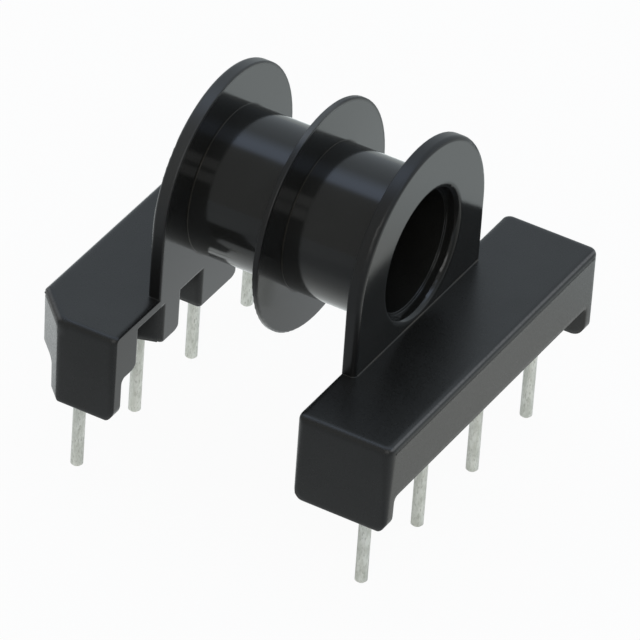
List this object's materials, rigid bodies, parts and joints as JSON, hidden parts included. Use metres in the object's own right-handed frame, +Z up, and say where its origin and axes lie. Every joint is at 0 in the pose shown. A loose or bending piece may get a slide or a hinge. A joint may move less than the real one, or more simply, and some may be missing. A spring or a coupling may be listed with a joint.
{
  "type": "transformer bobbin",
  "caption": "Black moulded coil former with two winding sections on a horizontal tube, D-shaped end flanges, two terminal rails with feet and straight tinned pins for a circuit board.",
  "frame": {"origin": "centre of the pin grid on the seating plane under the feet", "axes": "+X along the bore, away from the rail with the corner chamfer; +Y along the rails, away from the chamfer; +Z up"},
  "size_m": [0.0194, 0.0192, 0.0186],
  "materials": {
    "moulding": "glossy black thermoset",
    "pin": "dull tinned"
  },
  "bodies": {
    "root": {"coil_former": "moulding", "pin_1": "pin", "pin_2": "pin", "pin_3": "pin", "pin_4": "pin", "pin_5": "pin", "pin_6": "pin", "pin_7": "pin", "pin_8": "pin"}
  },
  "joints": []
}
